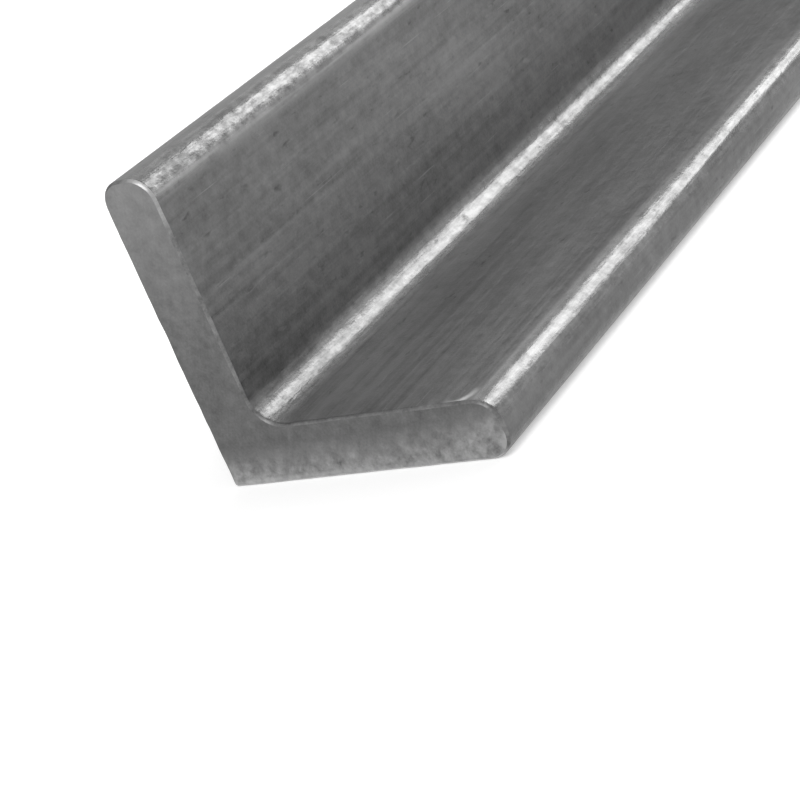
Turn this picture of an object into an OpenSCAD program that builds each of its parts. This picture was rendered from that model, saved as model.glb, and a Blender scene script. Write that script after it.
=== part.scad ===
// Hot-rolled steel angle section, a length of L-shaped stock with two equal legs.
// It lies as it would on a floor: one leg flat, the other upright along its left side.
// The length runs along Y, and the origin is midway along it, under the middle of the flat leg.

/* [Section] */
// Width of the leg that lies flat, heel to toe
flat_leg = 101.6; // [50.8:0.1:203.2]
// Height of the leg that stands up, heel to toe
upright_leg = 101.6; // [50.8:0.1:203.2]
// Thickness of both legs
thickness = 19.05; // [6.35:0.05:25.4]

/* [Rolled edges] */
// Radius of the fillet in the root, where the legs meet on the inside
root_radius = 9.525; // [3:0.005:16]
// Radius of each toe's edge on the inside of the section
inner_toe_radius = 8.4; // [4:0.1:12]
// Radius of each toe's edge on the outside of the section
outer_toe_radius = 7.6; // [4:0.1:12]
// Radius of the outside corner at the heel
heel_radius = 1.5; // [1.5:0.1:6]

/* [Sawn ends] */
// Length between the two sawn ends
stock_length = 609.6; // [152.4:0.1:6096]
// Width of the filed edge round each sawn end
end_chamfer = 0.8; // [0.2:0.1:1.2]

/* [Hidden] */
$fn = 96;

// Flat strip that is always left on the nose of a toe, between its two radii
toe_nose = 0.5;
toe_room = thickness - toe_nose;
toe_share = min(1, toe_room / (inner_toe_radius + outer_toe_radius));
inner_toe = inner_toe_radius * toe_share;
outer_toe = outer_toe_radius * toe_share;

// How far a cut or a patch reaches past the face that it meets, so that no sliver stays there
overlap = 1;
chamfer_overlap = 0.2;

// The patch between a square corner at the origin and the arc that rounds it
module corner_patch(radius) {
    difference() {
        translate([-overlap, -overlap]) square(radius + overlap);
        translate([radius, radius]) circle(r = radius);
    }
}

// A leg along X from the heel, with its outside face on the X axis and its toe rounded on both edges
module leg_profile(width) {
    difference() {
        square([width, thickness]);
        translate([width, 0]) mirror([1, 0]) corner_patch(outer_toe);
        translate([width, thickness]) mirror([1, 0]) mirror([0, 1]) corner_patch(inner_toe);
    }
}

// The rolled section: two legs that share the heel, filleted in the root and eased at the heel
module angle_profile() {
    difference() {
        union() {
            leg_profile(flat_leg);
            mirror([1, -1]) leg_profile(upright_leg);
            translate([thickness, thickness]) corner_patch(root_radius);
        }
        corner_patch(heel_radius);
    }
}

// What the file takes off an edge: X runs into the steel, Y is 0 on the sawn face
module chamfer_triangle() {
    reach = end_chamfer + chamfer_overlap;
    polygon([[-chamfer_overlap, -reach], [reach, chamfer_overlap], [-chamfer_overlap, chamfer_overlap]]);
}

// The cut along a straight edge that leaves start at an angle, with the steel on its left
module straight_chamfer(start, angle, run) {
    translate(start)
        rotate([0, 0, angle])
            rotate([90, 0, 90])
                linear_extrude(height = run)
                    chamfer_triangle();
}

// The cut round a quarter of an outside rounding
module outside_chamfer(centre, radius, angle) {
    translate(centre)
        rotate([0, 0, angle])
            rotate_extrude(angle = 90)
                translate([radius, 0]) mirror([1, 0]) chamfer_triangle();
}

// The cut round a quarter of an inside rounding
module inside_chamfer(centre, radius, angle) {
    translate(centre)
        rotate([0, 0, angle])
            rotate_extrude(angle = 90)
                translate([radius, 0]) chamfer_triangle();
}

// The cuts along one leg's outside face, round its toe and back along its inside face
module leg_chamfer(width) {
    straight_chamfer([heel_radius, 0], 0, width - outer_toe - heel_radius);
    outside_chamfer([width - outer_toe, outer_toe], outer_toe, 270);
    straight_chamfer([width, outer_toe], 90, thickness - inner_toe - outer_toe);
    outside_chamfer([width - inner_toe, thickness - inner_toe], inner_toe, 0);
    straight_chamfer([width - inner_toe, thickness], 180, width - inner_toe - thickness - root_radius);
}

// Everything that the file takes off round one sawn end
module sawn_end_chamfer() {
    leg_chamfer(flat_leg);
    mirror([1, -1, 0]) leg_chamfer(upright_leg);
    outside_chamfer([heel_radius, heel_radius], heel_radius, 180);
    inside_chamfer([thickness + root_radius, thickness + root_radius], root_radius, 180);
}

module angle_section() {
    color([0.33, 0.33, 0.34])
        translate([-flat_leg / 2, 0, 0])
            rotate([90, 0, 0])
                difference() {
                    linear_extrude(height = stock_length, center = true) angle_profile();
                    for (far = [0, 1]) {
                        mirror([0, 0, far]) translate([0, 0, stock_length / 2]) sawn_end_chamfer();
                    }
                }
}

angle_section();
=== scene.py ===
"""A length of hot-rolled steel angle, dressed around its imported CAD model."""

import math
from types import SimpleNamespace

import bpy
from mathutils import Matrix, Vector


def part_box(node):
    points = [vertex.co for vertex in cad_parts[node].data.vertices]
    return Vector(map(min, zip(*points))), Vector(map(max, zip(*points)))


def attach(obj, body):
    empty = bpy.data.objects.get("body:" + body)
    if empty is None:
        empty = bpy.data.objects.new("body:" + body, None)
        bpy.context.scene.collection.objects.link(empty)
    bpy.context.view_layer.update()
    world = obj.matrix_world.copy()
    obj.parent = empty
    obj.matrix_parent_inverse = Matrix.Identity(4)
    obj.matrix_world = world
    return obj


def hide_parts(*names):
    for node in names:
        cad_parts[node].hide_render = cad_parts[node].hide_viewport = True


bl_info = {
    "name": "Rolled Steel Angle",
    "version": (1, 0, 0),
    "blender": (4, 5, 0),
    "location": "3D View > Sidebar > Rolled Angle",
    "description": "Builds a length of hot-rolled steel angle with sawn ends, and its studio",
    "category": "Add Mesh",
}

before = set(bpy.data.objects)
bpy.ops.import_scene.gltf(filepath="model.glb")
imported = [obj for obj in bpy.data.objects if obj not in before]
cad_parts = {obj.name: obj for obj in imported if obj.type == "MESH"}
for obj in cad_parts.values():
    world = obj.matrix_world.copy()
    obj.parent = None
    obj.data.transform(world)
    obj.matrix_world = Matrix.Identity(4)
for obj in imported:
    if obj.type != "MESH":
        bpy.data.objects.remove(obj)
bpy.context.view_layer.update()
SECTION_NODE = "angle_section"
BODY = "root"
SECTION_LOW, SECTION_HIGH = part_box(SECTION_NODE)
SECTION_SIZE = SECTION_HIGH - SECTION_LOW


# Sizes and finishes that a user would change


class RolledSection(bpy.types.PropertyGroup):
    """Sizes of the rolled section and of the length that is sawn from it."""

    flat_leg: bpy.props.FloatProperty(
        name="Flat leg",
        description="Width of the leg that lies flat",
        default=SECTION_SIZE.x,
        subtype="DISTANCE",
    )
    upright_leg: bpy.props.FloatProperty(
        name="Upright leg",
        description="Height of the leg that stands up",
        default=SECTION_SIZE.z,
        subtype="DISTANCE",
    )
    length: bpy.props.FloatProperty(
        name="Length",
        description="Length between the sawn ends",
        default=SECTION_SIZE.y,
        subtype="DISTANCE",
    )
    thickness: bpy.props.FloatProperty(
        name="Thickness",
        description="Thickness of both legs",
        default=0.01905,
        subtype="DISTANCE",
    )
    root_radius: bpy.props.FloatProperty(
        name="Root radius",
        description="Fillet between the legs",
        default=0.009525,
        subtype="DISTANCE",
    )
    inner_toe_radius: bpy.props.FloatProperty(
        name="Inner toe radius",
        description="Inside edge of each toe",
        default=0.0084,
        subtype="DISTANCE",
    )
    outer_toe_radius: bpy.props.FloatProperty(
        name="Outer toe radius",
        description="Outside edge of each toe",
        default=0.0076,
        subtype="DISTANCE",
    )
    heel_radius: bpy.props.FloatProperty(
        name="Heel radius",
        description="Outside corner of the section",
        default=0.0015,
        subtype="DISTANCE",
    )
    end_chamfer: bpy.props.FloatProperty(
        name="End chamfer",
        description="Filed edge round each sawn end",
        default=0.0008,
        subtype="DISTANCE",
    )


class ScaleRelief(bpy.types.PropertyGroup):
    """How uneven the rolled surface is, and how finely it is meshed."""

    depth: bpy.props.FloatProperty(
        name="Depth",
        description="Deepest hollow in the mill scale",
        default=0.00014,
        subtype="DISTANCE",
    )
    unevenness: bpy.props.FloatProperty(
        name="Unevenness",
        description="How much the width of the filed edge varies",
        default=0.6,
        subtype="FACTOR",
    )
    seed: bpy.props.IntProperty(
        name="Seed",
        description="Picks another pattern of hollows",
        default=7,
    )
    mesh_around: bpy.props.FloatProperty(
        name="Mesh around",
        description="Spacing of the mesh round the section",
        default=0.0024,
        subtype="DISTANCE",
    )
    mesh_along: bpy.props.FloatProperty(
        name="Mesh along",
        description="Spacing of the mesh along the bar",
        default=0.0014,
        subtype="DISTANCE",
    )
    arc_steps: bpy.props.IntProperty(
        name="Arc steps",
        description="Mesh faces round each rounding of the section",
        default=12,
    )


class SteelFinish(bpy.types.PropertyGroup):
    """Colours of the mill scale and of the sawn steel."""

    scale_dark: bpy.props.FloatVectorProperty(
        name="Dark scale",
        description="Thick grey scale",
        default=(0.062, 0.062, 0.062),
        subtype="COLOR",
    )
    scale_light: bpy.props.FloatVectorProperty(
        name="Light scale",
        description="Thin, rubbed scale",
        default=(0.178, 0.178, 0.178),
        subtype="COLOR",
    )
    sawn_dark: bpy.props.FloatVectorProperty(
        name="Dark cut",
        description="Sawn steel in the middle of the cut",
        default=(0.088, 0.088, 0.088),
        subtype="COLOR",
    )
    sawn_light: bpy.props.FloatVectorProperty(
        name="Light cut",
        description="Sawn steel that the blade has torn",
        default=(0.34, 0.34, 0.34),
        subtype="COLOR",
    )
    filed: bpy.props.FloatVectorProperty(
        name="Filed edge",
        description="Bright steel on the filed edges",
        default=(0.8, 0.8, 0.8),
        subtype="COLOR",
    )
    saw_lean: bpy.props.FloatProperty(
        name="Saw lean",
        description="Angle between the saw marks and the upright leg",
        default=math.radians(25.0),
        subtype="ANGLE",
    )


class StudioSettings(bpy.types.PropertyGroup):
    """Camera, lamps and floor."""

    azimuth: bpy.props.FloatProperty(
        name="Azimuth",
        description="Camera's angle round the bar",
        default=math.radians(38.42),
        subtype="ANGLE",
    )
    elevation: bpy.props.FloatProperty(
        name="Elevation",
        description="Camera's angle above the floor",
        default=math.radians(20.62),
        subtype="ANGLE",
    )
    roll: bpy.props.FloatProperty(
        name="Roll",
        description="Camera's turn about its own axis",
        default=math.radians(-23.1),
        subtype="ANGLE",
    )
    lens: bpy.props.FloatProperty(
        name="Lens",
        description="Focal length in millimetres",
        default=95.2,
        unit="CAMERA",
    )
    distance: bpy.props.FloatProperty(
        name="Distance",
        description="From the camera to what it looks at",
        default=0.6396,
        subtype="DISTANCE",
    )
    aim: bpy.props.FloatVectorProperty(
        name="Aim",
        description="The point that the camera looks at",
        default=(-0.0078, -0.2685, 0.0046),
        subtype="XYZ",
        unit="LENGTH",
    )
    room_light: bpy.props.FloatProperty(
        name="Room light",
        description="Strength of the light from all sides",
        default=0.6,
    )
    floor_colour: bpy.props.FloatVectorProperty(
        name="Floor",
        description="Colour of the floor",
        default=(0.8, 0.8, 0.8),
        subtype="COLOR",
    )
    floor_glow: bpy.props.FloatProperty(
        name="Floor glow",
        description="What whitens the floor round the bar where it is seen",
        default=0.42,
    )
    far_floor_glow: bpy.props.FloatProperty(
        name="Far floor glow",
        description="What whitens the floor that the lamps don't reach",
        default=0.53,
    )
    back_power: bpy.props.FloatProperty(
        name="Back lamp",
        description="Watts of the large lamp behind the bar",
        default=23.0,
        unit="POWER",
    )
    side_power: bpy.props.FloatProperty(
        name="Side lamp",
        description="Watts of the low lamp beyond the flat leg's toe",
        default=2.2,
        unit="POWER",
    )
    left_power: bpy.props.FloatProperty(
        name="Left lamp",
        description="Watts of the lamp beyond the upright leg",
        default=2.4,
        unit="POWER",
    )
    front_power: bpy.props.FloatProperty(
        name="Front lamp",
        description="Watts of the lamp in front of the bar",
        default=20.0,
        unit="POWER",
    )


# Node trees


NOISE_MIDDLE = 0.5


class Sheet:
    """Lays out one node tree: adds nodes, sets their options and joins their sockets."""

    def __init__(self, tree):
        self.tree = tree

    def node(self, kind, *values, **options):
        """Adds a node and fills its inputs in order. A socket is joined, and None is left as it is."""
        made = self.tree.nodes.new(kind)
        for option, value in options.items():
            setattr(made, option, value)
        shown = [socket for socket in made.inputs if socket.enabled]
        for socket, value in zip(shown, values):
            self.fill(socket, value)
        return made

    def fill(self, socket, value):
        """Joins a socket to an input, or writes a plain value on it."""
        if isinstance(value, bpy.types.NodeSocket):
            self.tree.links.new(value, socket)
        elif value is not None:
            socket.default_value = value

    def fill_all(self, made, values):
        """Fills inputs of a node by their names."""
        for name, value in values.items():
            self.fill(made.inputs[name], value)
        return made

    def out(self, kind, *values, **options):
        """Adds a node and gives its first output that is in use."""
        made = self.node(kind, *values, **options)
        return next(socket for socket in made.outputs if socket.enabled)

    def math(self, operation, *values):
        """A number worked out from one, two or three others."""
        return self.out("ShaderNodeMath", *values, operation=operation)

    def product(self, first, *others):
        """Numbers multiplied with each other."""
        for other in others:
            first = self.math("MULTIPLY", first, other)
        return first

    def total(self, *weighted, base=None):
        """The sum of pairs of a value and its weight, and of a base."""
        result = 0.0
        for value, weight in weighted:
            result = self.math("MULTIPLY_ADD", value, weight, result)
        return result if base is None else self.math("ADD", base, result)

    def spread(self, value, low, high, to_low=0.0, to_high=1.0):
        """Maps a value from one range to another, held at both ends."""
        return self.out("ShaderNodeMapRange", value, low, high, to_low, to_high)

    def vector(self, operation, *values):
        """A vector worked out from others."""
        return self.out("ShaderNodeVectorMath", *values, operation=operation)

    def scaled(self, vector, factor):
        """A vector times a number."""
        made = self.node("ShaderNodeVectorMath", vector, operation="SCALE")
        self.fill(made.inputs["Scale"], factor)
        return made.outputs[0]

    def turned(self, vector, angles):
        """A vector turned about X, Y and Z by three angles in radians."""
        made = self.node("ShaderNodeVectorRotate", rotation_type="EULER_XYZ")
        return self.fill_all(made, {"Vector": vector, "Rotation": angles}).outputs[0]

    def drawn_out(self, place, x=1.0, y=1.0, z=1.0):
        """A place to read noise at: its patterns are longer along an axis whose share is below 1."""
        return self.vector("MULTIPLY", place, (x, y, z))

    def combine(self, x, y, z=0.0):
        """A vector from its three parts."""
        return self.out("ShaderNodeCombineXYZ", x, y, z)

    def part(self, vector, axis):
        """One of the three parts of a vector."""
        return self.node("ShaderNodeSeparateXYZ", vector).outputs[axis]

    def pick(self, kind, index, values):
        """The value that stands at index in a list."""
        made = self.tree.nodes.new("GeometryNodeIndexSwitch")
        made.data_type = kind
        while len(made.index_switch_items) < len(values):
            made.index_switch_items.new()
        self.fill(made.inputs["Index"], index)
        for place, value in enumerate(values):
            self.fill(made.inputs[place + 1], value)
        return made.outputs[0]

    def noise(self, place, size, detail=2.0, roughness=0.5, seed=0.0):
        """Noise from 0 to 1 whose patches are about size metres across."""
        made = self.node("ShaderNodeTexNoise", noise_dimensions="4D")
        self.fill_all(made, {"Vector": place, "W": seed, "Scale": 1.0 / size})
        return self.fill_all(made, {"Detail": detail, "Roughness": roughness}).outputs[0]


# The swept section


def keep(sheet, geometry, fields):
    """Stores fields on a curve's points, so that the mesh swept from it still has them."""
    capture = sheet.tree.nodes.new("GeometryNodeCaptureAttribute")
    capture.domain = "POINT"
    for name, (kind, _) in fields.items():
        capture.capture_items.new(kind, name)
    sheet.fill(capture.inputs[0], geometry)
    for name, (_, socket) in fields.items():
        sheet.fill(capture.inputs[name], socket)
    return capture.outputs[0], [capture.outputs[name] for name in fields]


def join(sheet, *parts):
    """Several geometries as one."""
    made = sheet.tree.nodes.new("GeometryNodeJoinGeometry")
    for part in reversed(parts):
        sheet.fill(made.inputs[0], part)
    return made.outputs[0]


def on_faces(sheet, value):
    """A value of the points, averaged over each face."""
    return sheet.out("GeometryNodeFieldOnDomain", value, domain="FACE", data_type="FLOAT")


def moved(sheet, geometry, place):
    """A geometry with its points set to a place."""
    return sheet.out("GeometryNodeSetPosition", geometry, None, place)


def painted(sheet, geometry, material, chosen=True):
    """A geometry with a material on its chosen faces."""
    return sheet.out("GeometryNodeSetMaterial", geometry, chosen, material)


def add_inputs(tree, wanted):
    """Gives a geometry tree its named inputs, and returns them by name."""
    tree.interface.new_socket("Geometry", in_out="OUTPUT", socket_type="NodeSocketGeometry")
    for name, kind in wanted:
        tree.interface.new_socket(name, in_out="INPUT", socket_type="NodeSocket" + kind)
    entry = tree.nodes.new("NodeGroupInput")
    return {name: entry.outputs[name] for name, _ in wanted}


SECTION_INPUTS = (
    ("Flat Leg", "Float"),
    ("Upright Leg", "Float"),
    ("Length", "Float"),
    ("Thickness", "Float"),
    ("Root Radius", "Float"),
    ("Inner Toe Radius", "Float"),
    ("Outer Toe Radius", "Float"),
    ("Heel Radius", "Float"),
    ("End Chamfer", "Float"),
    ("Relief Depth", "Float"),
    ("Unevenness", "Float"),
    ("Seed", "Int"),
    ("Mesh Around", "Float"),
    ("Mesh Along", "Float"),
    ("Arc Steps", "Int"),
    ("Mill Scale", "Material"),
    ("Sawn Steel", "Material"),
    ("Filed Steel", "Material"),
)

# The rings of mesh at each end, in chamfer widths: how far from the end, and how far in from the outline
END_RINGS = ((0.0, 1.0), (0.12, 0.88), (0.85, 0.12), (1.12, 0.0), (2.0, 0.0))
LAST_END_RING = len(END_RINGS) - 1
# Less than this counts as nothing, in chamfer widths and in metres
NEXT_TO_NONE = 0.01
TOUCHING = 1e-6
# Noise gives no hollow below the first value, and the full depth from the second on
WAVE_RANGE = (0.3, 0.7)
PIT_RANGE = (0.56, 0.74)
# The attribute that says how far a point lies in one of the roundings
RUBBED = "rubbed"


def section_outline(sheet, sizes):
    """The rolled outline as a closed curve in XY: six corners, rounded each by its own radius."""
    index = sheet.out("GeometryNodeInputIndex")
    flat, upright, wall = sizes["Flat Leg"], sizes["Upright Leg"], sizes["Thickness"]
    corners = [(0.0, 0.0), (flat, 0.0), (flat, wall), (wall, wall), (wall, upright), (0.0, upright)]
    points = [sheet.combine(x, y) for x, y in corners]
    inner, outer = sizes["Inner Toe Radius"], sizes["Outer Toe Radius"]
    radii = [sizes["Heel Radius"], outer, inner, sizes["Root Radius"], inner, outer]

    hexagon = sheet.out("GeometryNodeCurvePrimitiveCircle", len(corners))
    cornered = moved(sheet, hexagon, sheet.pick("VECTOR", index, points))
    rounded = sheet.node("GeometryNodeFilletCurve", mode="POLY")
    sheet.fill_all(rounded, {
        "Curve": cornered,
        "Radius": sheet.pick("FLOAT", index, radii),
        "Count": sizes["Arc Steps"],
    })
    return rounded.outputs[0]


def cut_long_runs(sheet, outline, spacing):
    """Splits the straight runs of the outline into steps of about the same length."""
    here = sheet.out("GeometryNodeInputPosition")
    following = sheet.fill_all(sheet.node("GeometryNodeOffsetPointInCurve"), {"Offset": 1})
    next_point = following.outputs["Point Index"]
    there = sheet.out("GeometryNodeFieldAtIndex", here, next_point, data_type="FLOAT_VECTOR")
    run = sheet.vector("DISTANCE", here, there)
    steps = sheet.math("ROUND", sheet.math("DIVIDE", run, spacing))
    cuts = sheet.math("MAXIMUM", sheet.math("SUBTRACT", steps, 1.0), 0.0)
    return sheet.out("GeometryNodeSubdivideCurve", outline, cuts)


def ringed_rail(sheet, sizes):
    """A rail along the bar. Each ring has its even place, the end that it is nearer to, and its place and
    inset in the filed edge, both in chamfer widths."""
    half = sheet.product(sizes["Length"], 0.5)
    evenly = sheet.math("ROUND", sheet.math("DIVIDE", sizes["Length"], sizes["Mesh Along"]))
    count = sheet.math("ADD", evenly, 2.0 * LAST_END_RING)
    near = sheet.combine(0.0, sheet.product(half, -1.0))
    far = sheet.combine(0.0, half)
    line = sheet.fill_all(sheet.node("GeometryNodeCurvePrimitiveLine"), {"Start": near, "End": far})
    rail = sheet.node("GeometryNodeResampleCurve", mode="COUNT")
    sheet.fill_all(rail, {"Curve": line.outputs[0], "Count": count})

    index = sheet.out("GeometryNodeInputIndex")
    last = sheet.math("SUBTRACT", count, 1.0)
    from_last = sheet.math("SUBTRACT", last, index)
    side = sheet.math("SIGN", sheet.math("SUBTRACT", index, from_last))
    ring = sheet.math("MINIMUM", sheet.math("MINIMUM", index, from_last), float(LAST_END_RING))
    last_even = sheet.math("SUBTRACT", last, float(LAST_END_RING))
    reach = sheet.math("SUBTRACT", half, sheet.product(sizes["End Chamfer"], END_RINGS[-1][0]))
    low_reach = sheet.product(reach, -1.0)
    return keep(sheet, rail.outputs[0], {
        "Even Place": ("FLOAT", sheet.spread(index, float(LAST_END_RING), last_even, low_reach, reach)),
        "Side": ("FLOAT", side),
        "Back": ("FLOAT", sheet.pick("FLOAT", ring, [place for place, _ in END_RINGS])),
        "Inset": ("FLOAT", sheet.pick("FLOAT", ring, [inset for _, inset in END_RINGS])),
    })


def filed_width(sheet, corner, side, sizes):
    """Width of the filed edge at a corner of the outline, which a hand-held file leaves a little uneven."""
    place = sheet.vector("ADD", corner, sheet.combine(0.0, 0.0, side))
    noise = sheet.noise(place, size=0.009, roughness=0.6, seed=sizes["Seed"])
    wander = sheet.math("SUBTRACT", noise, NOISE_MIDDLE)
    swing = sheet.product(sizes["Unevenness"], 2.0)
    return sheet.product(sheet.math("MULTIPLY_ADD", wander, swing, 1.0), sizes["End Chamfer"])


def scale_relief(sheet, place, seed):
    """How far down the surface lies in the mill scale, from 0 at its top to 1 at its deepest."""
    streaked = sheet.drawn_out(place, y=0.05)
    rolled = sheet.drawn_out(place, y=0.45)
    roll_lines = sheet.noise(streaked, size=0.0032, seed=seed)
    hollows = sheet.noise(rolled, size=0.0065, roughness=0.6, seed=seed)
    pits = sheet.noise(rolled, size=0.0034, detail=1.0, seed=seed)
    waves = sheet.total((roll_lines, 0.5), (hollows, 0.5))
    return sheet.total((sheet.spread(waves, *WAVE_RANGE), 0.55), (sheet.spread(pits, *PIT_RANGE), 0.45))


def sawn_face(sheet, outline, corner, inward, side, sizes):
    """The flat face that the saw leaves at one end, out to the filed edge."""
    inset = sheet.scaled(inward, filed_width(sheet, corner, side, sizes))
    rim = sheet.out("GeometryNodeSetPosition", outline, None, None, inset)
    flat = sheet.out("GeometryNodeFillCurve", rim, mode="TRIANGLES")
    end = sheet.product(sizes["Length"], 0.5 * side)
    here = sheet.out("GeometryNodeInputPosition")
    from_middle = sheet.math("MULTIPLY_ADD", sizes["Flat Leg"], -0.5, sheet.part(here, "X"))
    return moved(sheet, flat, sheet.combine(from_middle, end, sheet.part(here, "Y")))


def rolled_skin(sheet, outline, corner, inward, rounding, sizes):
    """The rolled faces and the filed edges, swept along the bar and sunk by the relief of the scale."""
    rail, (even_place, side, back, inset) = ringed_rail(sheet, sizes)
    swept = sheet.node("GeometryNodeCurveToMesh")
    sheet.fill_all(swept, {"Curve": rail, "Profile Curve": outline})

    width = filed_width(sheet, corner, side, sizes)
    half = sheet.product(sizes["Length"], 0.5)
    end_place = sheet.product(side, sheet.math("SUBTRACT", half, sheet.product(back, width)))
    is_end = sheet.math("LESS_THAN", back, END_RINGS[-1][0] - NEXT_TO_NONE)
    along = sheet.out("GeometryNodeSwitch", is_end, even_place, end_place, input_type="FLOAT")
    from_middle = sheet.math("MULTIPLY_ADD", sizes["Flat Leg"], -0.5, sheet.part(corner, "X"))
    place = sheet.combine(from_middle, along, sheet.part(corner, "Y"))

    is_rolled = sheet.math("LESS_THAN", inset, NEXT_TO_NONE)
    depth = sheet.product(is_rolled, sizes["Relief Depth"])
    sunk = sheet.product(scale_relief(sheet, place, sizes["Seed"]), depth)
    inward_in_place = sheet.combine(sheet.part(inward, "X"), 0.0, sheet.part(inward, "Y"))
    step = sheet.scaled(inward_in_place, sheet.math("MULTIPLY_ADD", inset, width, sunk))
    skin = moved(sheet, swept.outputs[0], sheet.vector("ADD", place, step))
    skin = sheet.out("GeometryNodeFlipFaces", skin)
    stored = {"data_type": "FLOAT", "domain": "POINT"}
    rubbed = sheet.product(rounding, 2.0)
    return sheet.out("GeometryNodeStoreNamedAttribute", skin, None, RUBBED, rubbed, **stored), inset


def build_section_tree():
    """The geometry tree that sweeps the rolled outline along the bar, files its ends and roughens it."""
    tree = bpy.data.node_groups.new("Rolled Angle", "GeometryNodeTree")
    sheet = Sheet(tree)
    sizes = add_inputs(tree, SECTION_INPUTS)

    outline = cut_long_runs(sheet, section_outline(sheet, sizes), sizes["Mesh Around"])
    tangent = sheet.out("GeometryNodeInputTangent")
    across, up = sheet.part(tangent, "X"), sheet.part(tangent, "Y")
    outline, (corner, inward, rounding) = keep(sheet, outline, {
        "Corner": ("VECTOR", sheet.out("GeometryNodeInputPosition")),
        "Inward": ("VECTOR", sheet.combine(sheet.product(up, -1.0), across)),
        "Rounding": ("FLOAT", sheet.math("ABSOLUTE", sheet.product(across, up))),
    })
    skin, inset = rolled_skin(sheet, outline, corner, inward, rounding, sizes)
    near_face = sawn_face(sheet, outline, corner, inward, -1.0, sizes)
    far_face = sheet.out("GeometryNodeFlipFaces", sawn_face(sheet, outline, corner, inward, 1.0, sizes))
    parts = join(sheet, skin, near_face, far_face)
    whole = sheet.out("GeometryNodeMergeByDistance", parts, None, TOUCHING)

    half = sheet.product(sizes["Length"], 0.5)
    along = sheet.part(sheet.out("GeometryNodeInputPosition"), "Y")
    from_end = sheet.math("SUBTRACT", half, sheet.math("ABSOLUTE", along))
    is_sawn = sheet.math("LESS_THAN", on_faces(sheet, from_end), TOUCHING)
    is_filed = sheet.math("GREATER_THAN", on_faces(sheet, inset), NEXT_TO_NONE)
    smooth = sheet.node("GeometryNodeSetShadeSmooth", whole, domain="FACE")
    sheet.fill(smooth.inputs["Shade Smooth"], sheet.math("SUBTRACT", 1.0, is_sawn))
    real = sheet.out("GeometryNodeRealizeInstances", smooth.outputs[0])
    finished = painted(sheet, real, sizes["Mill Scale"])
    finished = painted(sheet, finished, sizes["Filed Steel"], is_filed)
    finished = painted(sheet, finished, sizes["Sawn Steel"], is_sawn)
    leave = tree.nodes.new("NodeGroupOutput")
    sheet.fill(leave.inputs[0], finished)
    return tree


def grown_mesh(name, tree, values):
    """Runs a geometry tree with the values of its named inputs, and gives the result as a plain object."""
    seedling = bpy.data.objects.new(name, bpy.data.meshes.new(name))
    bpy.context.scene.collection.objects.link(seedling)
    modifier = seedling.modifiers.new(name, "NODES")
    modifier.node_group = tree
    for socket in tree.interface.items_tree:
        if socket.in_out == "INPUT":
            modifier[socket.identifier] = values[socket.name]
    depsgraph = bpy.context.evaluated_depsgraph_get()
    mesh = bpy.data.meshes.new_from_object(seedling.evaluated_get(depsgraph))
    seedling.modifiers.clear()
    seedling.data = mesh
    mesh.name = name
    # The tree can leave an empty slot in front of the materials
    while mesh.materials[0] is None:
        mesh.materials.pop(index=0)
    return seedling


# Steel

# The tint of the shine where steel is seen at a low angle
DULL_EDGE = (0.75, 0.75, 0.75, 1.0)
# The fine relief is measured in micrometres, and this is one of them in metres
MICRON = 1e-6
# Turns in radians that keep the grid of the noise off the rolled faces
ASKEW = (0.5, 0.6, 0.4)
LEANING = (0.0, 0.6, 0.0)


def new_material(name):
    """An empty node material, with the sheet that its nodes are laid out on."""
    material = bpy.data.materials.new(name)
    material.use_nodes = True
    material.node_tree.nodes.clear()
    return material, Sheet(material.node_tree)


def opaque(colour):
    """A colour with full cover."""
    return (*colour, 1.0)


def blend(sheet, share, first, second):
    """A colour between two others."""
    return sheet.out("ShaderNodeMix", share, first, second, data_type="RGBA")


def object_place(sheet):
    """A point of the bar, with its parts across the bar, along it and up."""
    place = sheet.node("ShaderNodeTexCoord").outputs["Object"]
    return (place, *sheet.node("ShaderNodeSeparateXYZ", place).outputs)


def rubbing(sheet):
    """How far a point lies in a rounding, where the steel is rubbed."""
    return sheet.node("ShaderNodeAttribute", attribute_name=RUBBED).outputs["Fac"]


def finish_steel(sheet, colour, roughness, height, metallic):
    """The shader and the output of a steel material. The height of its fine relief is in metres."""
    bump = sheet.fill_all(sheet.node("ShaderNodeBump"), {"Height": height, "Distance": 1.0})
    shader = sheet.node("ShaderNodeBsdfPrincipled")
    sheet.fill_all(shader, {
        "Base Color": colour,
        "Roughness": roughness,
        "Metallic": metallic,
        "Specular Tint": DULL_EDGE,
        "Normal": bump.outputs[0],
    })
    sheet.node("ShaderNodeOutputMaterial", shader.outputs[0])


# Values of noise, from where a mark starts to show to where it shows in full
CLOUD_RANGE = (0.37, 0.63)
SPECKLE_RANGE = (0.39, 0.59)
FLAKE_RANGE = (0.64, 0.76)
SCRATCH_RANGE = (0.7, 0.78)
CHIP_RANGE = (0.72, 0.77)


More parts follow.
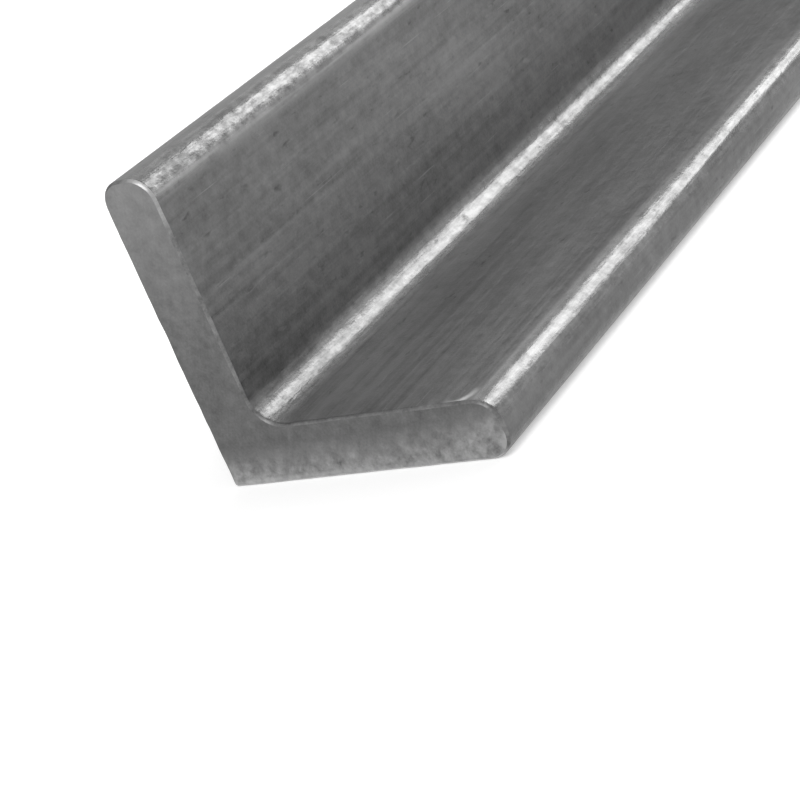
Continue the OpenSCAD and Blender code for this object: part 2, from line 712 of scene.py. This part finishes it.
def scale_patterns(sheet, place):
    """The patterns in mill scale, from 0 to 1. Mottle and grain lie askew, the beads in the speckle lie
    crosswise, and the others are drawn out along the bar."""
    askew = sheet.turned(place, ASKEW)
    leaning = sheet.turned(place, LEANING)
    streaked = sheet.drawn_out(leaning, y=0.025)
    rolled = sheet.drawn_out(leaning, y=0.4)
    crosswise = sheet.drawn_out(place, x=0.35, z=0.35)
    specks = sheet.noise(rolled, size=0.0023, detail=4.0, roughness=0.7, seed=9.0)
    beads = sheet.noise(crosswise, size=0.0055, detail=4.0, roughness=0.75, seed=11.0)
    flakes = sheet.noise(rolled, size=0.0022, seed=3.0)
    scratches = sheet.noise(streaked, size=0.0006, detail=1.0, seed=5.0)
    chips = sheet.noise(rolled, size=0.0032, detail=1.0, seed=6.0)
    return SimpleNamespace(
        clouds=sheet.noise(rolled, size=0.03, detail=5.0, roughness=0.6),
        mottle=sheet.noise(askew, size=0.0045, detail=4.0, roughness=0.6),
        lumps=sheet.noise(rolled, size=0.0022, roughness=0.55),
        grain=sheet.noise(askew, size=0.0009, roughness=0.6),
        streaks=sheet.noise(streaked, size=0.003, detail=4.0, roughness=0.6),
        ridges=sheet.noise(streaked, size=0.0015, seed=4.0),
        speckle=sheet.spread(sheet.total((specks, 0.6), (beads, 0.4)), *SPECKLE_RANGE),
        flakes=sheet.spread(flakes, *FLAKE_RANGE),
        scratches=sheet.spread(scratches, *SCRATCH_RANGE),
        chips=sheet.spread(chips, *CHIP_RANGE),
    )


# Painted light: where the scale on top of the flat leg starts to be painted paler, and where it is palest,
# in metres
PALE_HEIGHT = (0.024, 0.0195)
PALE_ACROSS = (0.045, 0.04)
PALE_ALONG = (-0.18, -0.27)
# Values of noise between its dark and its pale streaks
PALE_STREAKS = (0.3, 0.7)


def painted_light_on_flat_leg(sheet, across, along, up, streaks):
    """Painted light: how much paler the scale is painted on top of the flat leg, towards the near end,
    standing in for light on that face.
    """
    return sheet.product(
        sheet.spread(up, *PALE_HEIGHT),
        sheet.spread(across, *PALE_ACROSS),
        sheet.spread(along, *PALE_ALONG),
        sheet.spread(streaks, *PALE_STREAKS),
    )


# The painted sheen on the lip inside the upright toe, in metres: how far below the top of the bar it starts
# and ends, where it lies across the bar, and how far noise moves it up and down
LIP_TOP = (0.0046, 0.0062)
LIP_BOTTOM = (0.0108, 0.0066)
LIP_ACROSS = (-0.037, -0.0345)
LIP_WANDER = 0.006


def painted_sheen_on_lip(sheet, across, up, mottle):
    """Painted sheen: how strongly a light band is painted along the lip on the inside of the upright toe,
    standing in for a reflection.
    """
    highest = SECTION_HIGH.z - LIP_WANDER * NOISE_MIDDLE
    below_top = sheet.total((up, -1.0), (mottle, LIP_WANDER), base=highest)
    return sheet.product(
        sheet.spread(below_top, *LIP_TOP),
        sheet.spread(below_top, *LIP_BOTTOM),
        sheet.spread(across, *LIP_ACROSS),
    )


# The painted highlight near the flat leg's toe, a small bright crescent: its middle and its reach across
# and along, in metres
CRESCENT_MIDDLE = Vector((0.037, SECTION_LOW.y + 0.0063, 0.0))
CRESCENT_REACH = (0.0047, 0.0062)
# Where the ring round its middle starts to show and where it shows in full, in shares of its reach
CRESCENT_ACROSS = (-0.8, 0.7)
CRESCENT_ALONG = (0.35, -0.7)
CRESCENT_LINE = (0.34, 0.08)
# The height in metres that keeps it on top of the leg
CRESCENT_HEIGHT = (0.012, 0.016)


def painted_highlight_crescent(sheet, place, up):
    """Painted highlight: how strongly the small bright crescent beside the flat leg's toe at the near end
    is painted.
    """
    offset = sheet.vector("SUBTRACT", place, CRESCENT_MIDDLE)
    reach_across, reach_along = CRESCENT_REACH
    offset = sheet.vector("MULTIPLY", offset, (1.0 / reach_across, 1.0 / reach_along, 0.0))
    from_middle = sheet.vector("LENGTH", offset)
    off_line = sheet.math("ABSOLUTE", sheet.math("SUBTRACT", from_middle, 1.0))
    return sheet.product(
        sheet.spread(off_line, *CRESCENT_LINE, to_high=0.75),
        sheet.spread(sheet.part(offset, "X"), *CRESCENT_ACROSS),
        sheet.spread(sheet.part(offset, "Y"), *CRESCENT_ALONG),
        sheet.spread(up, *CRESCENT_HEIGHT),
    )


# Metres up the bar over which the rubbing changes, from the low roundings to the upright toe
RUBBING_HEIGHT = (0.03, 0.1)
# Metres across the bar over which the wear changes, from the upright leg to the flat toe, where it is
# painted lighter as highlight
WEAR_AND_HIGHLIGHT_ACROSS = (-0.03, 0.04)
# Values of noise that streak the painted sheen on the lip with bright steel colour
LIP_STREAKS = (0.4, 0.6)


def scale_height(sheet, pattern, rubbed, up):
    """Height of the finest relief in metres. Its lumps and ridges are highest in the rubbed roundings."""
    beaded = sheet.product(rubbed, sheet.spread(up, *RUBBING_HEIGHT, to_low=0.6, to_high=0.9))
    lump_height = sheet.math("MULTIPLY_ADD", beaded, 120 * MICRON, 30 * MICRON)
    ridge_height = sheet.math("MULTIPLY_ADD", rubbed, 80 * MICRON, 10 * MICRON)
    return sheet.total(
        (sheet.product(pattern.lumps, lump_height), 1.0),
        (sheet.product(pattern.ridges, ridge_height), 1.0),
        (pattern.grain, 40 * MICRON),
        (pattern.mottle, 50 * MICRON),
        (pattern.streaks, 70 * MICRON),
        (pattern.flakes, -30 * MICRON),
        (pattern.scratches, -20 * MICRON),
    )


def mill_scale(finish):
    """Dark oxide from the rolls: mottled, streaked lengthwise, flaked in spots and lightly scratched, with
    painted light on the flat leg and painted highlights along the upright toe's lip and beside the flat
    toe.
    """
    material, sheet = new_material("mill_scale")
    place, across, along, up = object_place(sheet)
    rubbed = rubbing(sheet)
    pattern = scale_patterns(sheet, place)

    patchy = sheet.spread(up, *RUBBING_HEIGHT, to_low=0.5, to_high=0.9)
    # Worn scale on the roundings, painted lighter towards the flat toe so that its highlight is brighter
    cover = sheet.spread(across, *WEAR_AND_HIGHLIGHT_ACROSS, to_low=0.57, to_high=0.36)
    wear_and_highlight = sheet.product(rubbed, patchy, sheet.math("SUBTRACT", pattern.speckle, cover))
    lined = sheet.product(rubbed, sheet.math("SUBTRACT", pattern.ridges, NOISE_MIDDLE))
    # Painted light on top of the flat leg, towards the near end
    pale = painted_light_on_flat_leg(sheet, across, along, up, pattern.streaks)
    # Painted sheen along the lip inside the upright toe
    lip = painted_sheen_on_lip(sheet, across, up, pattern.mottle)
    clouded = sheet.total(
        (pattern.clouds, 0.35),
        (pattern.mottle, 0.26),
        (pattern.streaks, 0.28),
        (pattern.grain, 0.11),
    )
    tone = sheet.total(
        (sheet.spread(clouded, *CLOUD_RANGE), 1.0),
        (pattern.flakes, -0.35),
        (pattern.scratches, 0.5),
        (pattern.chips, 0.25),
        (wear_and_highlight, 1.1),
        (lined, 1.2),
        (pale, 0.45),
        (lip, 0.3),
    )
    streaky = sheet.total((pattern.ridges, 0.6), (pattern.mottle, 0.4))
    lip_sheen_streaks = sheet.product(lip, sheet.spread(streaky, *LIP_STREAKS, to_high=0.2))
    # Painted highlights: the streaked sheen on the lip and the crescent beside the flat toe, blended
    # towards bright steel colour
    painted_highlights = sheet.math("ADD", lip_sheen_streaks, painted_highlight_crescent(sheet, place, up))
    colour = blend(sheet, tone, opaque(finish.scale_dark), opaque(finish.scale_light))
    colour = blend(sheet, painted_highlights, colour, opaque(finish.filed))
    roughness = sheet.total(
        (pattern.mottle, 0.1),
        (pattern.lumps, 0.1),
        (pattern.flakes, 0.12),
        (rubbed, -0.12),
        (wear_and_highlight, -0.12),
        base=0.24,
    )
    height = scale_height(sheet, pattern, rubbed, up)
    finish_steel(sheet, colour, roughness, height, metallic=0.62)
    return material


# Heights on the sawn ends where the end grows lighter towards the top, where the blade tore out, and where
# a burr line is painted
# bright as a highlight, in metres: from where each starts to show to where it shows in full
TOP_LIGHTENING = (0.045, 0.1)
TORN_OUT = (0.013, 0.003)
BURR = (0.0031, 0.0021)
# How far noise moves the lighter top, the torn part, the height of the burr line and its place across the
# bar, in metres
TORN_WANDER = 0.012
BURR_WANDER = 0.001
HEEL_WANDER = -0.08
# From this place across the bar to the flat toe the torn part reaches higher, by this rise, in metres
TOE_START = 0.02
TOE_RISE = 0.005
# Where the burr line with its painted highlight starts to grow and where it is largest, towards the heel,
# in metres across the bar
HEEL_ACROSS = (0.0, -0.08)
# Values of noise between the dark and the light patches
PATCH_RANGE = (0.3, 0.7)


def sawn_steel(finish):
    """Bare steel on the sawn ends, with fine saw marks, lighter towards the top and where the blade tore
    out, and a burr line painted bright as a highlight along the lower edge.
    """
    material, sheet = new_material("sawn_steel")
    place, across, _, up = object_place(sheet)
    turn = sheet.node("ShaderNodeVectorRotate", rotation_type="Y_AXIS")
    sheet.fill_all(turn, {"Vector": place, "Angle": -finish.saw_lean})
    along_marks = sheet.drawn_out(turn.outputs[0], z=0.05)
    in_patches = sheet.drawn_out(turn.outputs[0], z=0.9)
    marks = sheet.noise(along_marks, size=0.0009, detail=3.0, roughness=0.6)
    bands = sheet.noise(along_marks, size=0.005)
    patches = sheet.noise(in_patches, size=0.0036, detail=4.0, roughness=0.65)
    mottle = sheet.noise(place, size=0.004, detail=4.0, roughness=0.65)
    grain = sheet.noise(place, size=0.0008, roughness=0.6)

    near_toe = sheet.spread(across, TOE_START, SECTION_HIGH.x)
    lowest = -TORN_WANDER * NOISE_MIDDLE
    height_up = sheet.total((up, 1.0), (mottle, TORN_WANDER), (near_toe, -TOE_RISE), base=lowest)
    # Lighter towards the top of the end face
    top_lightening = sheet.spread(height_up, *TOP_LIGHTENING)
    torn_out = sheet.spread(height_up, *TORN_OUT)
    patchy = sheet.product(torn_out, sheet.spread(patches, *PATCH_RANGE, to_low=-0.6, to_high=0.6))
    tone = sheet.total(
        (top_lightening, 0.39),
        (torn_out, 0.55),
        (patchy, 0.9),
        (marks, 0.12),
        (bands, 0.14),
        (mottle, 0.56),
        (grain, 0.26),
        base=-0.36,
    )
    to_heel = sheet.total((across, 1.0), (mottle, HEEL_WANDER))
    # Burr line along the lower edge, painted bright as a highlight
    burr_and_highlight = sheet.product(
        sheet.spread(sheet.total((up, 1.0), (mottle, BURR_WANDER)), *BURR),
        sheet.spread(to_heel, *HEEL_ACROSS, to_low=0.05, to_high=0.2),
    )
    colour = blend(sheet, tone, opaque(finish.sawn_dark), opaque(finish.sawn_light))
    colour = blend(sheet, burr_and_highlight, colour, opaque(finish.filed))
    height = sheet.total((marks, 30 * MICRON), (grain, 30 * MICRON), (mottle, 30 * MICRON))
    roughness = sheet.total((mottle, 0.1), base=0.4)
    finish_steel(sheet, colour, roughness, height, metallic=0.85)
    return material


# Where the filed edges are painted brighter as highlights, in metres: below the bar, and on the inner side
# of the upright toe
UNDER_HEIGHT = (0.004, 0.0)
UPPER_TOE_HEIGHT = (0.08, 0.1)
INNER_SIDE_ACROSS = (-0.042, -0.035)


def filed_steel(finish):
    """Brighter steel on the edges that the file has broken, with painted highlights below the bar and
    inside the upright toe, and painted shade at the low roundings.
    """
    material, sheet = new_material("filed_steel")
    place, across, _, up = object_place(sheet)
    mottle = sheet.noise(place, size=0.006, detail=4.0, roughness=0.65)
    grain = sheet.noise(place, size=0.0008, roughness=0.6)
    # Painted highlights on the filed edges below the bar and inside the upright toe
    underside_highlight = sheet.spread(up, *UNDER_HEIGHT)
    inner_side = sheet.spread(across, *INNER_SIDE_ACROSS)
    upper_toe_highlight = sheet.product(sheet.spread(up, *UPPER_TOE_HEIGHT), inner_side)
    # Painted shade on the filed edges at the low roundings
    low_rounding_shade = sheet.product(rubbing(sheet), sheet.math("SUBTRACT", 1.0, upper_toe_highlight))
    tone = sheet.total(
        (mottle, 0.4),
        (grain, 0.2),
        (underside_highlight, 0.6),
        (upper_toe_highlight, 0.32),
        (low_rounding_shade, -0.1),
        base=-0.18,
    )
    colour = blend(sheet, tone, opaque(finish.sawn_dark), opaque(finish.filed))
    height = sheet.product(grain, 30 * MICRON)
    finish_steel(sheet, colour, roughness=0.38, height=height, metallic=0.85)
    return material


# Studio

WHITE = (1.0, 1.0, 1.0, 1.0)
# Half the floor's width, and the distances from the bar between which its glow changes, in metres
FLOOR_HALF_WIDTH = 20.0
NEAR_FLOOR = 1.0
FAR_FLOOR = 4.0
# The camera's sensor, in millimetres
SENSOR_WIDTH = 36.0
# Where the soft lamps hang, seen from the near end: angles in degrees, distance and size in metres
LAMPS = {
    "back": {"azimuth": 160.5, "elevation": 31.0, "distance": 2.2, "size": (1.06, 1.16)},
    "side": {"azimuth": 137.0, "elevation": 13.0, "distance": 2.2, "size": (1.0, 1.0)},
    "left": {"azimuth": 201.0, "elevation": 36.0, "distance": 2.2, "size": (1.0, 1.0)},
    "front": {"azimuth": 28.0, "elevation": 48.0, "distance": 2.5, "size": (1.2, 1.2)},
}


def way_from_bar(azimuth, elevation):
    """The way from the bar to what stands at an azimuth, 0 in front of the near end, and an elevation."""
    level = math.cos(elevation)
    return Vector((math.sin(azimuth) * level, -math.cos(azimuth) * level, math.sin(elevation)))


def whitened(sheet, unseen, seen):
    """One strength where the eye or polished steel sees the surface itself, and another elsewhere."""
    path = sheet.node("ShaderNodeLightPath").outputs
    looked_at = sheet.math("MAXIMUM", path["Is Camera Ray"], path["Is Glossy Ray"])
    looked_at = sheet.math("MAXIMUM", looked_at, path["Is Transmission Ray"])
    return sheet.spread(looked_at, 0.0, 1.0, unseen, seen)


def lay_floor(studio):
    """A level floor that looks white and keeps the bar's shadow."""
    far = FLOOR_HALF_WIDTH
    corners = [(-far, -far, 0.0), (far, -far, 0.0), (far, far, 0.0), (-far, far, 0.0)]
    mesh = bpy.data.meshes.new("floor")
    mesh.from_pydata(corners, [], [(0, 1, 2, 3)])
    material, sheet = new_material("pale_floor")
    matt = sheet.out("ShaderNodeBsdfDiffuse", opaque(studio.floor_colour))
    from_bar = sheet.vector("LENGTH", sheet.node("ShaderNodeTexCoord").outputs["Object"])
    seen_glow = sheet.spread(from_bar, NEAR_FLOOR, FAR_FLOOR, studio.floor_glow, studio.far_floor_glow)
    glow = sheet.out("ShaderNodeEmission", WHITE, whitened(sheet, 0.0, seen_glow))
    sheet.node("ShaderNodeOutputMaterial", sheet.out("ShaderNodeAddShader", matt, glow))
    mesh.materials.append(material)
    floor = bpy.data.objects.new("floor", mesh)
    bpy.context.scene.collection.objects.link(floor)


def light_room(studio):
    """Even white light from all sides, seen as plain white."""
    world = bpy.data.worlds.new("studio")
    world.use_nodes = True
    world.node_tree.nodes.clear()
    sheet = Sheet(world.node_tree)
    room = sheet.out("ShaderNodeBackground", WHITE, whitened(sheet, studio.room_light, 1.0))
    sheet.node("ShaderNodeOutputWorld", room)
    bpy.context.scene.world = world


def hang_lamp(name, watts, azimuth, elevation, distance, size):
    """A soft lamp that shines at the bar's near end."""
    data = bpy.data.lights.new(name, "AREA")
    data.shape = "RECTANGLE"
    data.energy = watts
    data.size, data.size_y = size
    lamp = bpy.data.objects.new(name, data)
    near_end = Vector((0.0, SECTION_LOW.y, SECTION_SIZE.z / 2))
    way = way_from_bar(math.radians(azimuth), math.radians(elevation))
    lamp.location = near_end + way * distance
    lamp.rotation_mode = "QUATERNION"
    lamp.rotation_quaternion = way.to_track_quat("Z", "Y")
    bpy.context.scene.collection.objects.link(lamp)


def set_camera(studio):
    """The camera of the picture, turned about its own axis as well."""
    toward_camera = way_from_bar(studio.azimuth, studio.elevation)
    data = bpy.data.cameras.new("camera")
    data.sensor_width = SENSOR_WIDTH
    data.lens = studio.lens
    camera = bpy.data.objects.new("camera", data)
    camera.location = Vector(studio.aim) + toward_camera * studio.distance
    camera.rotation_mode = "QUATERNION"
    turn = Matrix.Rotation(studio.roll, 4, toward_camera).to_quaternion()
    camera.rotation_quaternion = turn @ toward_camera.to_track_quat("Z", "Y")
    bpy.context.scene.collection.objects.link(camera)
    bpy.context.scene.camera = camera


# Operators


class ANGLE_OT_rolled_bar(bpy.types.Operator):
    """Sweep the rolled section, roughen it with mill scale and put it in place of its CAD node."""

    bl_idname = "angle.rolled_bar"
    bl_label = "Rolled Bar"

    def execute(self, context):
        section = context.scene.rolled_section
        relief = context.scene.scale_relief
        finish = context.scene.steel_finish
        bar = grown_mesh("rolled_bar", build_section_tree(), {
            "Flat Leg": section.flat_leg,
            "Upright Leg": section.upright_leg,
            "Length": section.length,
            "Thickness": section.thickness,
            "Root Radius": section.root_radius,
            "Inner Toe Radius": section.inner_toe_radius,
            "Outer Toe Radius": section.outer_toe_radius,
            "Heel Radius": section.heel_radius,
            "End Chamfer": section.end_chamfer,
            "Relief Depth": relief.depth,
            "Unevenness": relief.unevenness,
            "Seed": relief.seed,
            "Mesh Around": relief.mesh_around,
            "Mesh Along": relief.mesh_along,
            "Arc Steps": relief.arc_steps,
            "Mill Scale": mill_scale(finish),
            "Sawn Steel": sawn_steel(finish),
            "Filed Steel": filed_steel(finish),
        })
        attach(bar, BODY)
        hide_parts(SECTION_NODE)
        return {"FINISHED"}


class ANGLE_OT_studio(bpy.types.Operator):
    """Lay a pale floor, light it softly and set the camera."""

    bl_idname = "angle.studio"
    bl_label = "Studio"

    def execute(self, context):
        studio = context.scene.studio_settings
        lay_floor(studio)
        light_room(studio)
        for name, place in LAMPS.items():
            hang_lamp(name + "_softbox", getattr(studio, name + "_power"), **place)
        set_camera(studio)
        context.scene.view_settings.view_transform = "Standard"
        return {"FINISHED"}


class ANGLE_PT_panel(bpy.types.Panel):
    """Lists the sizes and finishes, and the steps that build the bar and its studio."""

    bl_label = "Rolled Angle"
    bl_space_type = "VIEW_3D"
    bl_region_type = "UI"
    bl_category = "Rolled Angle"

    def draw(self, context):
        for group in GROUPS:
            settings = getattr(context.scene, group)
            box = self.layout.box()
            for name in settings.__annotations__:
                box.prop(settings, name)
        self.layout.operator(ANGLE_OT_rolled_bar.bl_idname)
        self.layout.operator(ANGLE_OT_studio.bl_idname)


GROUPS = {
    "rolled_section": RolledSection,
    "scale_relief": ScaleRelief,
    "steel_finish": SteelFinish,
    "studio_settings": StudioSettings,
}
CLASSES = (*GROUPS.values(), ANGLE_OT_rolled_bar, ANGLE_OT_studio, ANGLE_PT_panel)


def register():
    """Adds the classes, and a place for each group of settings on the scene."""
    for cls in CLASSES:
        bpy.utils.register_class(cls)
    for name, group in GROUPS.items():
        setattr(bpy.types.Scene, name, bpy.props.PointerProperty(type=group))


def unregister():
    """Takes the settings and the classes away again."""
    for name in GROUPS:
        delattr(bpy.types.Scene, name)
    for cls in reversed(CLASSES):
        bpy.utils.unregister_class(cls)


def main():
    """Builds the bar and its studio."""
    register()
    bpy.ops.angle.rolled_bar()
    bpy.ops.angle.studio()


if __name__ == "__main__":
    main()
